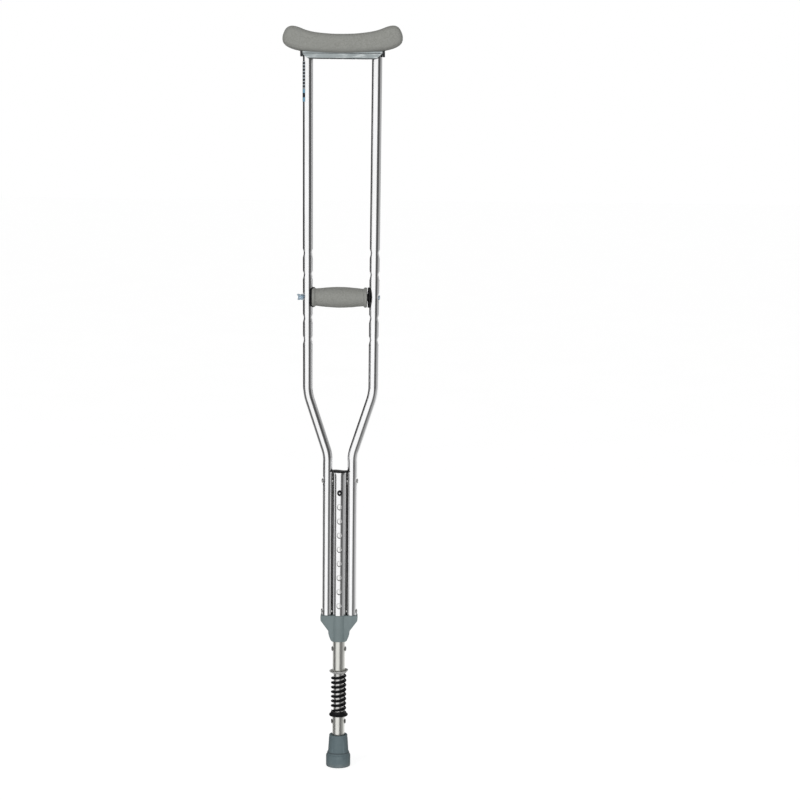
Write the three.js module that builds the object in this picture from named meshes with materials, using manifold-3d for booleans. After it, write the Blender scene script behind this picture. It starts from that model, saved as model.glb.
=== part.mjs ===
// Underarm crutch with a height-adjustable lower tube and a spring-loaded tip.
// Millimetres, +Z up, front towards -Y. The origin is the bottom centre of the rubber tip.
// Every sub-part is one named mesh. Neighbours keep a small clearance.

import * as THREE from 'three';
import { mergeVertices } from 'three/addons/utils/BufferGeometryUtils.js';
import Module from 'manifold-3d';

const wasm = await Module();
wasm.setup();

// ---- driving dimensions ----

const GAP = 0.3; // clearance between pieces that touch or fit together
const INCH = 25.4;

// Side tubes: together at the bottom and spread for the hand above.
const SIDE_R = 9;
const SIDE_WALL = 1.2;
const SIDE_X_LOW = 21.8; // centre line beside the centre tube
const SIDE_X_BEND = 57.5; // centre line at the upper bend
const SIDE_X_TOP = 60; // centre line at the upper end, in the bracket
const SIDE_BOTTOM_Z = 267;
const LOWER_BEND_Z = 564;
const UPPER_BEND_Z = 672;
const SIDE_TOP_Z = 1282;
const BEND_RADIUS = 70;
const SIDE_LEAN = (SIDE_X_TOP - SIDE_X_BEND) / (SIDE_TOP_Z - UPPER_BEND_Z);

// Hand grip: clamped through one of five pairs of dimpled holes.
const GRIP_Z = 842.5;
const GRIP_TUBE_X = SIDE_X_BEND + (GRIP_Z - UPPER_BEND_Z) * SIDE_LEAN;
const GRIP_PITCH = 1.5 * INCH;
const GRIP_HOLES = [-2, -1, 0, 1, 2].map((step) => GRIP_Z + step * GRIP_PITCH);
const BOLT_R = 3.15;
const BOLT_HOLE_R = 3.5;
const DIMPLE_R = 7.5;
const DIMPLE_DEPTH = 1.9;
const FOAM_HALF = 48.2;
const FOAM_SHIFT = -2.7; // the foam sits a little towards the wing nut
const SADDLE_R = 11.7;

// Centre tube, extension tube and the height holes.
const CENTER_R = 12.5;
const CENTER_BORE = 11.4;
const CENTER_BOTTOM_Z = 246.5;
const CENTER_TOP_Z = 533;
const EXTENSION_R = 11;
const EXTENSION_BORE = 9.8;
const EXTENSION_BOTTOM_Z = 171.8;
const EXTENSION_TOP_Z = 510;
const HEIGHT_PITCH = 1 * INCH;
const HEIGHT_HOLES = 9;
const BUTTON_Z = 497; // top hole, the shortest setting
const BUTTON_R = 3.8;
const BUTTON_TIP_Y = 14.3;

// Rivets.
const RIVET_R = 2.3;
const RIVET_HEAD_R = 4.5;
const RIVET_HEAD_H = 2.1;
const UPPER_RIVET_Z = 517.3;
const LOWER_RIVET_Z = 282.6;
const SIDE_RIVETS = [LOWER_RIVET_Z, UPPER_RIVET_Z];
const STOP_PIN_Z = 214;
const FOOT_RIVET_Z = 81.6;

// Bottom yoke.
const YOKE_TOP_Z = 276;
const YOKE_BOTTOM_Z = 228.5;
const YOKE_HALF_WIDTH = 32.9;
const YOKE_HALF_DEPTH = 11;
const YOKE_SLEEVE_R = 14.5;

// Shock absorber in the foot.
const FOOT_TRAVEL = 13;
const CUP_Z = 170;
const SPRING_R = 11.85;
const WIRE_R = 2.05;
const SPRING_TURNS = 7.85;
const COLLAR_Z = 92;
const COLLAR_TOP_Z = 99.4;
const PLUNGER_R = 9.45;
const PLUNGER_BORE = 8.2;
const PLUNGER_BOTTOM_Z = 40;
const PLUNGER_TOP_Z = 232;
const FOOT_TUBE_BOTTOM_Z = 27.4;

// Rubber tip.
const TIP_BASE_R = 21.8;
const TIP_TOP_Z = 58;

// Underarm pad and its bracket.
const PAD_DEPTH = 44;
const PAD_EDGE = 7;
const BRACKET_HALF_DEPTH = 12;
const BRACKET_BOTTOM_Z = 1255.8;
const BRACKET_TOP_Z = 1287;

const ROUND = 10; // curve segments of a tube section: a tube has twice as many sides

// ---- solids ----

/** Turns a closed geometry into a solid for cutting and joining. */
function solid(geometry) {
  const plain = geometry.clone();
  plain.deleteAttribute('normal');
  plain.deleteAttribute('uv');
  const merged = mergeVertices(plain, 1e-4);
  const index = merged.index.array;
  const kept = [];
  for (let i = 0; i < index.length; i += 3) {
    const [a, b, c] = [index[i], index[i + 1], index[i + 2]];
    if (a !== b && b !== c && c !== a) kept.push(a, b, c);
  }
  return new wasm.Manifold(new wasm.Mesh({
    numProp: 3,
    vertProperties: new Float32Array(merged.attributes.position.array),
    triVerts: new Uint32Array(kept),
  }));
}

/** Turns a solid back into a three.js geometry. */
function geometryOf(body) {
  const mesh = body.getMesh();
  const geometry = new THREE.BufferGeometry();
  geometry.setAttribute('position', new THREE.BufferAttribute(mesh.vertProperties, 3));
  geometry.setIndex(new THREE.BufferAttribute(mesh.triVerts, 1));
  geometry.computeVertexNormals();
  return geometry;
}

/** Cuts every tool out of the first solid. */
function cut(body, ...tools) {
  return tools.reduce((left, tool) => left.subtract(tool), body);
}

/** A solid of revolution about Z from [radius, z] pairs. */
function turned(profile, sides = 2 * ROUND) {
  const points = profile.map(([radius, z]) => new THREE.Vector2(radius, z));
  return new THREE.LatheGeometry(points, sides).rotateX(Math.PI / 2);
}

/** A solid of revolution about X from [radius, x] pairs. */
function turnedAboutX(profile, sides = 2 * ROUND) {
  return turned(profile, sides).rotateY(Math.PI / 2);
}

/** A ring profile between two radii and two heights, closed on itself. */
function ringProfile(inner, outer, low, high) {
  return [[inner, low], [outer, low], [outer, high], [inner, high], [inner, low]];
}

/** A round bar along 'x', 'y' or 'z' between two stations, through the given centre. */
function bar(axis, radius, from, to, centre, sides = 12) {
  const geometry = new THREE.CylinderGeometry(radius, radius, to - from, sides);
  if (axis === 'x') geometry.rotateZ(-Math.PI / 2);
  if (axis === 'z') geometry.rotateX(Math.PI / 2);
  const middle = (from + to) / 2;
  const [x, y, z] = centre;
  const place = { x: [middle, y, z], y: [x, middle, z], z: [x, y, middle] }[axis];
  return geometry.translate(...place);
}

/** An outline in the X-Z plane, given as a Shape, extruded evenly about Y = 0. */
function slab(shape, depth, bevel = 0) {
  const geometry = new THREE.ExtrudeGeometry(shape, {
    depth: depth - 2 * bevel,
    curveSegments: ROUND,
    bevelEnabled: bevel > 0,
    bevelThickness: bevel,
    bevelSize: bevel,
    bevelOffset: -bevel,
    bevelSegments: 3,
  });
  return geometry.translate(0, 0, bevel - depth / 2).rotateX(Math.PI / 2);
}

/** A closed Shape through [x, z] corners. */
function polygon(corners) {
  return new THREE.Shape(corners.map(([x, z]) => new THREE.Vector2(x, z)));
}

/** An outline that is the same on both sides of X = 0, from its right half, bottom to top. */
function mirroredPolygon(rightHalf) {
  const leftHalf = [...rightHalf].reverse().map(([x, z]) => [-x, z]);
  return polygon([...rightHalf, ...leftHalf]);
}

function mirroredX(geometry) {
  return geometryOf(solid(geometry).mirror([1, 0, 0]));
}

/** A curve whose evenly spaced points are exactly the given stations. */
class StationCurve extends THREE.Curve {
  constructor(stations) {
    super();
    this.stations = stations;
  }

  getUtoTmapping(u) {
    return u;
  }

  getPoint(t) {
    const last = this.stations.length - 1;
    const whole = Math.min(Math.floor(t * last + 1e-9), last - 1);
    return this.stations[whole].clone().lerp(this.stations[whole + 1], t * last - whole);
  }

  getTangent(t) {
    const last = this.stations.length - 1;
    const at = Math.round(t * last);
    const here = this.stations[at];
    const direction = new THREE.Vector3();
    if (at > 0) direction.add(here.clone().sub(this.stations[at - 1]).normalize());
    if (at < last) direction.add(this.stations[at + 1].clone().sub(here).normalize());
    return direction.normalize();
  }
}

/** Sweeps a section along stations. */
function swept(shape, stations) {
  return new THREE.ExtrudeGeometry(shape, {
    steps: stations.length - 1,
    curveSegments: ROUND,
    extrudePath: new StationCurve(stations),
  });
}

function ringShape(inner, outer) {
  const shape = new THREE.Shape().absarc(0, 0, outer, 0, 2 * Math.PI);
  shape.holes.push(new THREE.Path().absarc(0, 0, inner, 0, 2 * Math.PI));
  return shape;
}

// ---- side tubes ----

/** Centre line of the right side tube at a height on its lower or upper straight stretch. */
function straightSideX(z) {
  return z < LOWER_BEND_Z ? SIDE_X_LOW : SIDE_X_BEND + (z - UPPER_BEND_Z) * SIDE_LEAN;
}

/** Centre line stations of the right side tube, from the yoke to the pad. */
function sideTubeStations() {
  const corners = [
    new THREE.Vector3(SIDE_X_LOW, 0, SIDE_BOTTOM_Z),
    new THREE.Vector3(SIDE_X_LOW, 0, LOWER_BEND_Z),
    new THREE.Vector3(SIDE_X_BEND, 0, UPPER_BEND_Z),
    new THREE.Vector3(SIDE_X_TOP, 0, SIDE_TOP_Z),
  ];
  const stations = [corners[0]];
  for (let i = 1; i < corners.length - 1; i += 1) {
    const into = corners[i].clone().sub(corners[i - 1]).normalize();
    const out = corners[i + 1].clone().sub(corners[i]).normalize();
    const turn = into.angleTo(out);
    const reach = BEND_RADIUS * Math.tan(turn / 2);
    const bend = new THREE.QuadraticBezierCurve3(
      corners[i].clone().addScaledVector(into, -reach),
      corners[i],
      corners[i].clone().addScaledVector(out, reach),
    );
    stations.push(...bend.getPoints(4));
  }
  stations.push(corners[corners.length - 1]);
  for (const z of [...SIDE_RIVETS, ...GRIP_HOLES]) {
    for (const offset of [-DIMPLE_R, -DIMPLE_R / 2, 0, DIMPLE_R / 2, DIMPLE_R]) {
      stations.push(new THREE.Vector3(straightSideX(z + offset), 0, z + offset));
    }
  }
  return stations.sort((a, b) => a.z - b.z);
}

/** Presses a shallow round dimple into both sides of the tube wall at each hole. */
function pressDimples(geometry) {
  const position = geometry.attributes.position;
  for (let i = 0; i < position.count; i += 1) {
    const z = position.getZ(i);
    for (const hole of [...SIDE_RIVETS, ...GRIP_HOLES]) {
      const away = Math.hypot(position.getY(i), z - hole) / DIMPLE_R;
      if (away >= 1) continue;
      const side = Math.sign(position.getX(i) - straightSideX(hole));
      position.setX(i, position.getX(i) - side * DIMPLE_DEPTH * (1 - away * away));
    }
  }
  return geometry;
}

function rightSideTube() {
  const section = ringShape(SIDE_R - SIDE_WALL, SIDE_R);
  const tube = solid(pressDimples(swept(section, sideTubeStations())));
  const boltHoles = GRIP_HOLES.map((z) => solid(bar('x', BOLT_HOLE_R, 40, 80, [0, 0, z])));
  const rivetHoles = SIDE_RIVETS.map(
    (z) => solid(bar('x', RIVET_R + GAP, 5, 40, [0, 0, z])),
  );
  return geometryOf(cut(tube, ...boltHoles, ...rivetHoles));
}

// ---- rivets ----

/** Domed rivet head pointing along +X, its flat underside at x = 0. */
function rivetHeadProfile() {
  return [[RIVET_HEAD_R, 0], [4.1, 0.9], [3.1, 1.7], [1.6, RIVET_HEAD_H], [0, RIVET_HEAD_H]];
}

/** A rivet along X with a domed head at its right end, or at both ends. */
function rivet(from, head, z) {
  const profile = [[0, from], [RIVET_R, from], [RIVET_R, head]];
  profile.push(...rivetHeadProfile().map(([radius, x]) => [radius, head + x]));
  return turnedAboutX(profile, 12).translate(0, 0, z);
}

function throughRivet(head, z) {
  const right = rivetHeadProfile().map(([radius, x]) => [radius, head + x]);
  const left = [...right].reverse().map(([radius, x]) => [radius, -x]);
  return turnedAboutX([...left, [RIVET_R, -head], [RIVET_R, head], ...right], 12).translate(0, 0, z);
}

// ---- centre tube, extension and snap buttons ----

function heightHoleZs() {
  return Array.from({ length: HEIGHT_HOLES }, (_, i) => BUTTON_Z - i * HEIGHT_PITCH);
}

function centerTube() {
  const tube = solid(turned(ringProfile(CENTER_BORE, CENTER_R, CENTER_BOTTOM_Z, CENTER_TOP_Z)));
  const buttonHoles = heightHoleZs().map((z) => solid(bar('y', BUTTON_R + GAP, -20, 20, [0, 0, z])));
  const rivetHoles = SIDE_RIVETS.map(
    (z) => solid(bar('x', RIVET_R + GAP, -20, 20, [0, 0, z])),
  );
  return geometryOf(cut(tube, ...buttonHoles, ...rivetHoles));
}

/** Plug with a thin flange that fills the valley between the side tubes. */
function centerTubeCap() {
  const low = CENTER_TOP_Z + GAP;
  const spigot = solid(turned([[0, 524], [CENTER_BORE - GAP, 524], [CENTER_BORE - GAP, low + 1],
    [0, low + 1]]));
  const flange = solid(new THREE.BoxGeometry(31, 21, 1.2).translate(0, 0, low + 0.6));
  const sides = [-SIDE_X_LOW, SIDE_X_LOW].map(
    (x) => solid(bar('z', SIDE_R + GAP + 0.1, low - 1, low + 5, [x, 0, 0], 24)),
  );
  return geometryOf(cut(spigot.add(flange), ...sides));
}

function extensionTube() {
  const profile = ringProfile(EXTENSION_BORE, EXTENSION_R, EXTENSION_BOTTOM_Z, EXTENSION_TOP_Z);
  const buttonHole = solid(bar('y', BUTTON_R + GAP, -20, 20, [0, 0, BUTTON_Z]));
  const pinHole = solid(bar('x', RIVET_R + GAP, -20, 20, [0, 0, STOP_PIN_Z]));
  return geometryOf(cut(solid(turned(profile)), buttonHole, pinHole));
}

const LEAF_HALF_WIDTH = 4;
const LEAF_Y = 8.6;
const LEAF_THICKNESS = 0.7;

/** U-shaped leaf spring that holds both snap buttons out. */
function snapSpring() {
  const bendZ = BUTTON_Z - 31;
  const top = BUTTON_Z + 6;
  const inner = LEAF_Y - LEAF_THICKNESS;
  const shape = new THREE.Shape();
  shape.moveTo(LEAF_Y, top);
  shape.lineTo(inner, top);
  shape.lineTo(inner, bendZ);
  shape.absarc(0, bendZ, inner, 0, -Math.PI, true);
  shape.lineTo(-inner, top);
  shape.lineTo(-LEAF_Y, top);
  shape.lineTo(-LEAF_Y, bendZ);
  shape.absarc(0, bendZ, LEAF_Y, Math.PI, 2 * Math.PI, false);
  return slab(shape, 2 * LEAF_HALF_WIDTH).rotateZ(Math.PI / 2);
}

/** Domed snap button pointing along -Y (side = -1) or +Y (side = 1). */
function snapButton(side) {
  const profile = [[0, LEAF_Y + GAP], [BUTTON_R, LEAF_Y + GAP], [BUTTON_R, 12.9],
    [3.2, 13.7], [1.9, 14.2], [0, BUTTON_TIP_Y]];
  return turnedAboutX(profile, 12).rotateZ((side * Math.PI) / 2).translate(0, 0, BUTTON_Z);
}

// ---- bottom yoke ----

function bottomYoke() {
  const outline = mirroredPolygon([[11.6, YOKE_BOTTOM_Z], [14.6, 231.6], [17, 237.5], [18.7, 243],
    [18.8, 248], [YOKE_HALF_WIDTH, 267], [YOKE_HALF_WIDTH, YOKE_TOP_Z]]);
  const wings = solid(slab(outline, 2 * YOKE_HALF_DEPTH));
  const sleeve = solid(turned([[0, YOKE_BOTTOM_Z], [YOKE_SLEEVE_R, YOKE_BOTTOM_Z],
    [YOKE_SLEEVE_R, YOKE_TOP_Z], [0, YOKE_TOP_Z]]));
  const above = YOKE_TOP_Z + 5;
  const pockets = [-SIDE_X_LOW, SIDE_X_LOW].map(
    (x) => solid(bar('z', SIDE_R + 1.2 * GAP, SIDE_BOTTOM_Z - GAP, above, [x, 0, 0], 20)),
  );
  const seat = solid(bar('z', CENTER_R + GAP, CENTER_BOTTOM_Z - GAP, above, [0, 0, 0], 20));
  const neck = solid(bar('z', EXTENSION_R + 1.2 * GAP, YOKE_BOTTOM_Z - 5, above, [0, 0, 0], 20));
  return geometryOf(cut(wings.add(sleeve), ...pockets, seat, neck));
}

// ---- underarm pad and bracket ----

/** Saddle outline: dished top, rounded horns, nearly flat underside. */
function padShape() {
  const shape = new THREE.Shape();
  shape.moveTo(-72, 1269.5);
  shape.quadraticCurveTo(0, 1261.5, 72, 1269.5);
  shape.quadraticCurveTo(97, 1274, 102.5, 1283.5);
  shape.quadraticCurveTo(106, 1293, 101, 1302.5);
  shape.quadraticCurveTo(97, 1312.6, 87, 1312.6);
  shape.quadraticCurveTo(80, 1312.6, 70, 1307.9);
  shape.quadraticCurveTo(48, 1298.5, 0, 1298.5);
  shape.quadraticCurveTo(-48, 1298.5, -70, 1307.9);
  shape.quadraticCurveTo(-80, 1312.6, -87, 1312.6);
  shape.quadraticCurveTo(-97, 1312.6, -101, 1302.5);
  shape.quadraticCurveTo(-106, 1293, -102.5, 1283.5);
  shape.quadraticCurveTo(-97, 1274, -72, 1269.5);
  return shape;
}

function underarmPad() {
  const pocket = new THREE.BoxGeometry(148, 2 * BRACKET_HALF_DEPTH + 1, 40);
  pocket.translate(0, 0, BRACKET_TOP_Z + 0.5 - 20);
  const flange = solid(slab(bracketFlangeShape(GAP), 2 * BRACKET_HALF_DEPTH + 6));
  return geometryOf(cut(solid(slab(padShape(), PAD_DEPTH, PAD_EDGE)), solid(pocket), flange));
}

/** The bracket's visible lip just under the pad, with slanting ends, grown by a clearance. */
function bracketFlangeShape(grow) {
  const low = BRACKET_BOTTOM_Z - grow;
  return mirroredPolygon([[57 + grow, low], [62 + grow, low + 1.5], [74 + grow, 1268.6 + grow]]);
}

function underarmBracket() {
  const lip = solid(slab(bracketFlangeShape(0), 2 * BRACKET_HALF_DEPTH + 5));
  const core = new THREE.BoxGeometry(147, 2 * BRACKET_HALF_DEPTH, 24);
  core.translate(0, 0, BRACKET_TOP_Z - 12);
  const ears = [-71.2, 71.2].map(
    (x) => solid(new THREE.BoxGeometry(4.2, 14, 8).translate(x, 0, 1263.5)),
  );
  const hollow = new THREE.BoxGeometry(92, 19, 30);
  hollow.translate(0, 0, BRACKET_TOP_Z - 3 - 15);
  const sockets = [-1, 1].map((side) => {
    const socket = bar('z', SIDE_R + 1.2 * GAP, -60, 0, [0, 0, 0], 20);
    return solid(socket.rotateY(side * Math.atan(SIDE_LEAN))
      .translate(side * SIDE_X_TOP, 0, SIDE_TOP_Z + GAP));
  });
  const whole = ears.reduce((joined, ear) => joined.add(ear), lip.add(solid(core)));
  return geometryOf(cut(whole, solid(hollow), ...sockets));
}

/** Thin curved label round the outer side of the left tube. */
function sizeLabel() {
  const [low, high] = [1182, 1251];
  const inner = SIDE_R + GAP;
  const lean = Math.atan(SIDE_LEAN);
  const sleeve = turned(ringProfile(inner, inner + 0.25, low - UPPER_BEND_Z, high - UPPER_BEND_Z));
  const place = (geometry) => solid(geometry.rotateY(-lean).translate(-SIDE_X_BEND, 0, UPPER_BEND_Z));
  const outerSide = new THREE.BoxGeometry(10, 30, 400).translate(-10.4, 0, 600);
  return geometryOf(place(sleeve).intersect(place(outerSide)));
}

// ---- hand grip ----

function gripFoam() {
  const half = [[18.2, 0], [17.9, 12], [17.1, 24], [16.2, 34], [15.4, 41], [15.5, 42.3], [17.6, 43.8],
    [17.8, 46.6], [16.8, FOAM_HALF], [11.4, FOAM_HALF]];
  const left = [...half.slice(1)].reverse().map(([radius, x]) => [radius, -x]);
  const barrel = solid(turnedAboutX([...left, ...half, left[0]]).translate(FOAM_SHIFT, 0, 0));
  const hugs = [-GRIP_TUBE_X, GRIP_TUBE_X].map(
    (x) => solid(bar('z', SADDLE_R + GAP, -60, 60, [x, 0, 0], 24)),
  );
  return geometryOf(cut(barrel, ...hugs)).translate(0, 0, GRIP_Z);
}

function gripCore() {
  return turnedAboutX(ringProfile(6.7, 11, -46, 46)).translate(0, 0, GRIP_Z);
}

/** Curved end piece that hugs the inner side of the right tube, as far out as its reach. */
function rightGripSaddle(reach) {
  const shell = solid(bar('z', SADDLE_R, -20, 20, [GRIP_TUBE_X, 0, 0], 24));
  const hollow = solid(bar('z', SIDE_R + 1.5 * GAP, -25, 25, [GRIP_TUBE_X, 0, 0], 20));
  const outline = solid(bar('x', 17.6, 30, reach, [0, 0, 0], 20));
  const boss = solid(bar('x', 6.3, 39, 47.4, [0, 0, 0]));
  const bore = solid(bar('x', BOLT_HOLE_R, 30, 60, [0, 0, 0]));
  const saddle = cut(shell, hollow).intersect(outline).add(boss);
  return geometryOf(cut(saddle, bore)).translate(0, 0, GRIP_Z);
}

const BOLT_END_X = -75.4;
const BOLT_HEAD_X = 66.4;
const WASHER_X = -66.9;
const NUT_X = -68.2;

/** Round-headed bolt through both side tubes and the grip. */
function gripBolt() {
  const profile = [[0, BOLT_END_X], [BOLT_R - 0.5, BOLT_END_X], [BOLT_R, BOLT_END_X + 0.6],
    [BOLT_R, BOLT_HEAD_X], [4.6, BOLT_HEAD_X], [4.3, BOLT_HEAD_X + 0.9], [2.8, BOLT_HEAD_X + 1.6],
    [0, BOLT_HEAD_X + 1.8]];
  return turnedAboutX(profile, 12).translate(0, 0, GRIP_Z);
}

function gripWasher() {
  return turnedAboutX(ringProfile(BOLT_HOLE_R, 5.8, WASHER_X - 1, WASHER_X), 16)
    .translate(0, 0, GRIP_Z);
}

/** Wing nut: tapered hub with two swept-back wings. */
function wingNut() {
  const hub = solid(turnedAboutX([[0, NUT_X - 5.9], [4.1, NUT_X - 5.9], [5.3, NUT_X], [0, NUT_X]], 16));
  const wing = polygon([[-0.7, 3], [-0.7, 5.2], [-3.9, 11.2], [-6.9, 12.6], [-8.7, 11.4], [-8.3, 8.6],
    [-5.7, 6.2], [-4.9, 3]].map(([x, z]) => [NUT_X + x, z]));
  const wings = [0, Math.PI].map((turn) => solid(slab(wing, 2.4).rotateX(turn)));
  const bore = solid(bar('x', BOLT_R + GAP, -85, -60, [0, 0, 0]));
  const nut = cut(hub.add(wings[0]).add(wings[1]), bore);
  return geometryOf(nut).rotateX(THREE.MathUtils.degToRad(64)).translate(0, 0, GRIP_Z);
}

// ---- shock absorber and foot ----

function cupWasher() {
  return turned([[PLUNGER_R + GAP, CUP_Z], [12, CUP_Z], [15.4, CUP_Z + 2.4], [16.8, CUP_Z + 4.9],
    [15.9, CUP_Z + 5.3], [14.6, CUP_Z + 3.2], [11.6, CUP_Z + 1.3], [PLUNGER_R + GAP, CUP_Z + 1.3],
    [PLUNGER_R + GAP, CUP_Z]]);
}

function shockSpring() {
  const low = COLLAR_TOP_Z + GAP + WIRE_R;
  const high = CUP_Z - GAP - WIRE_R;
  const steps = Math.round(SPRING_TURNS * 14);
  const stations = [];
  for (let i = 0; i <= steps; i += 1) {
    const angle = Math.PI + (2 * Math.PI * SPRING_TURNS * i) / steps;
    stations.push(new THREE.Vector3(
      SPRING_R * Math.cos(angle),
      SPRING_R * Math.sin(angle),
      low + ((high - low) * i) / steps,
    ));
  }
  const wire = new THREE.Shape().absarc(0, 0, WIRE_R, 0, 2 * Math.PI);
  return new THREE.ExtrudeGeometry(wire, {
    steps, curveSegments: 3, extrudePath: new StationCurve(stations),
  });
}

function springCollar() {
  const bore = PLUNGER_R + GAP;
  return turned([[bore, COLLAR_Z], [15.9, COLLAR_Z], [16.9, COLLAR_Z + 1.4],
    [16.6, COLLAR_Z + 3.2], [14.2, COLLAR_Z + 5], [13.8, COLLAR_TOP_Z], [bore, COLLAR_TOP_Z],
    [bore, COLLAR_Z]]);
}

/** Inner tube fixed in the foot. Its slot lets it travel past the stop pin. */
function plungerTube() {
  const tube = solid(turned(ringProfile(PLUNGER_BORE, PLUNGER_R, PLUNGER_BOTTOM_Z, PLUNGER_TOP_Z)));
  const halfSlot = RIVET_R + GAP;
  const slot = new THREE.BoxGeometry(40, 2 * halfSlot, FOOT_TRAVEL + 2 * halfSlot);
  slot.translate(0, 0, STOP_PIN_Z - FOOT_TRAVEL / 2);
  const rivetHole = solid(bar('x', RIVET_R + GAP, -20, 20, [0, 0, FOOT_RIVET_Z]));
  return geometryOf(cut(tube, solid(slot), rivetHole));
}

function footTube() {
  const profile = ringProfile(EXTENSION_BORE, EXTENSION_R, FOOT_TUBE_BOTTOM_Z, COLLAR_Z - GAP);
  const rivetHole = solid(bar('x', RIVET_R + GAP, -20, 20, [0, 0, FOOT_RIVET_Z]));
  return geometryOf(cut(solid(turned(profile)), rivetHole));
}

/** Rubber tip with a ringed tread and a socket for the foot tube. */
function rubberTip() {
  const socket = EXTENSION_R + 1.2 * GAP;
  return turned([[0, 0], [5, 0], [5.7, 1.6], [8, 1.6], [8.7, 0], [12, 0], [12.7, 1.6], [15, 1.6],
    [15.7, 0], [19.6, 0], [21.2, 0.6], [TIP_BASE_R, 2.2], [TIP_BASE_R, 20], [21.2, 21.8],
    [20, 23], [19.7, 25.4], [16.3, TIP_TOP_Z - 1.2], [15.6, TIP_TOP_Z], [socket, TIP_TOP_Z],
    [socket, 25.2], [0, 25.2]], 24);
}

function tipWasher() {
  return bar('z', 10.8, 25.5, 27.1, [0, 0, 0], 20);
}

// ---- assembly ----

function material(color, roughness, metalness) {
  return new THREE.MeshStandardMaterial({ color, roughness, metalness });
}

const aluminium = () => material(0xc9ccce, 0.25, 1);
const steel = () => material(0xb4b8ba, 0.35, 1);
const blackSteel = () => material(0x0e0e10, 0.35, 0.6);
const zinc = () => material(0x8fa9bd, 0.35, 1);
const foam = () => material(0x8b8b83, 0.95, 0);
const blackPlastic = () => material(0x17181a, 0.5, 0);

const crutch = new THREE.Group();

function add(name, geometry, look) {
  const mesh = new THREE.Mesh(geometry, look);
  mesh.name = name;
  crutch.add(mesh);
}

const rivetHeadX = SIDE_X_LOW + SIDE_R - 0.4;
const sideTube = rightSideTube();
const lowerRivet = rivet(CENTER_BORE + GAP, rivetHeadX, LOWER_RIVET_Z);

add('underarm_pad', underarmPad(), foam());
add('underarm_bracket', underarmBracket(), material(0xa5b2b6, 0.4, 0));
add('left_side_tube', mirroredX(sideTube), aluminium());
add('right_side_tube', sideTube, aluminium());
add('size_label', sizeLabel(), material(0xd4dde2, 0.6, 0));
add('center_tube', centerTube(), aluminium());
add('center_tube_cap', centerTubeCap(), blackPlastic());
add('bottom_yoke', bottomYoke(), material(0x738082, 0.5, 0));
add('upper_cross_rivet', throughRivet(rivetHeadX, UPPER_RIVET_Z), aluminium());
add('left_lower_rivet', mirroredX(lowerRivet), aluminium());
add('right_lower_rivet', lowerRivet, aluminium());

add('grip_foam', gripFoam(), foam());
add('grip_core', gripCore(), blackPlastic());
add('left_grip_saddle', mirroredX(rightGripSaddle(54.6)), blackPlastic());
add('right_grip_saddle', rightGripSaddle(50.8), blackPlastic());
add('grip_bolt', gripBolt(), zinc());
add('grip_washer', gripWasher(), zinc());
add('wing_nut', wingNut(), zinc());

add('extension_tube', extensionTube(), material(0xbfc1bd, 0.4, 1));
add('snap_spring', snapSpring(), steel());
add('front_snap_button', snapButton(-1), blackSteel());
add('rear_snap_button', snapButton(1), blackSteel());
add('stop_pin', throughRivet(EXTENSION_R + GAP, STOP_PIN_Z), steel());
add('cup_washer', cupWasher(), steel());

add('shock_spring', shockSpring(), blackSteel());
add('plunger_tube', plungerTube(), steel());
add('spring_collar', springCollar(), blackPlastic());
add('foot_tube', footTube(), material(0xbfc1bd, 0.4, 1));
add('foot_rivet', throughRivet(EXTENSION_R + GAP, FOOT_RIVET_Z), steel());
add('rubber_tip', rubberTip(), material(0x5f6c73, 0.85, 0));
add('tip_washer', tipWasher(), steel());

export default crutch;
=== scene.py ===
"""Looks of the underarm crutch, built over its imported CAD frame.

Shapes are written in millimetres in the row frame: +Z up, front towards -Y, origin under the tip.
solid() scales them to metres. Every piece stands for the CAD node it is named after, and the two
halves of the leaf spring stand for snap_spring.
"""

import math

import bmesh
import bpy
from mathutils import Matrix, Vector, noise


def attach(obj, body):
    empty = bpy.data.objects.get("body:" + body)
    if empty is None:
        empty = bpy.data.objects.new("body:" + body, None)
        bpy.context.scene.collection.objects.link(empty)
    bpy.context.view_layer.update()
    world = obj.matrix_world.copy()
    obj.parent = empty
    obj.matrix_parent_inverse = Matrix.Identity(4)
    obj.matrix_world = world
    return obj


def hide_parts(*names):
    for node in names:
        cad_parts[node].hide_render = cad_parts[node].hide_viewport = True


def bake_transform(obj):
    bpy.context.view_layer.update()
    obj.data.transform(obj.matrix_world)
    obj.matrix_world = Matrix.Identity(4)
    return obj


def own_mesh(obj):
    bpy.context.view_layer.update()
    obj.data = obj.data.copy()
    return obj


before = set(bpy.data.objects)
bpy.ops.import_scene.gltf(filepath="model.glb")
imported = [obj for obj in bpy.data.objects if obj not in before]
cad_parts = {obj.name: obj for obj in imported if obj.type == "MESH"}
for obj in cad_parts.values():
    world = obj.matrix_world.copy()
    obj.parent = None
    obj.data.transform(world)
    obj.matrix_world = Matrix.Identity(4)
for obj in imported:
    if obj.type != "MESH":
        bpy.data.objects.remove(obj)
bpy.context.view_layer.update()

MM = 0.001

# ---- driving dimensions ----

# They are the CAD's, but for three. CENTER_R is 0.2 mm more, so that no light shows between the
# tubes, and the dimples are wider and shallower than the CAD's 7.5 and 1.9.
SIDE_R, SIDE_BORE = 9.0, 7.8
SIDE_X_LOW, SIDE_X_BEND, SIDE_X_TOP = 21.8, 57.5, 60.0
SIDE_BOTTOM_Z, LOWER_BEND_Z, UPPER_BEND_Z, SIDE_TOP_Z = 267, 564, 672, 1282
SIDE_LEAN = (SIDE_X_TOP - SIDE_X_BEND) / (SIDE_TOP_Z - UPPER_BEND_Z)
BEND_RADIUS = 70
GRIP_Z, GRIP_PITCH = 842.5, 38.1
GRIP_TUBE_X = SIDE_X_BEND + (GRIP_Z - UPPER_BEND_Z) * SIDE_LEAN
GRIP_HOLES = [GRIP_Z + step * GRIP_PITCH for step in (-2, -1, 0, 1, 2)]
SIDE_RIVETS = [282.6, 517.3]
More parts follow.
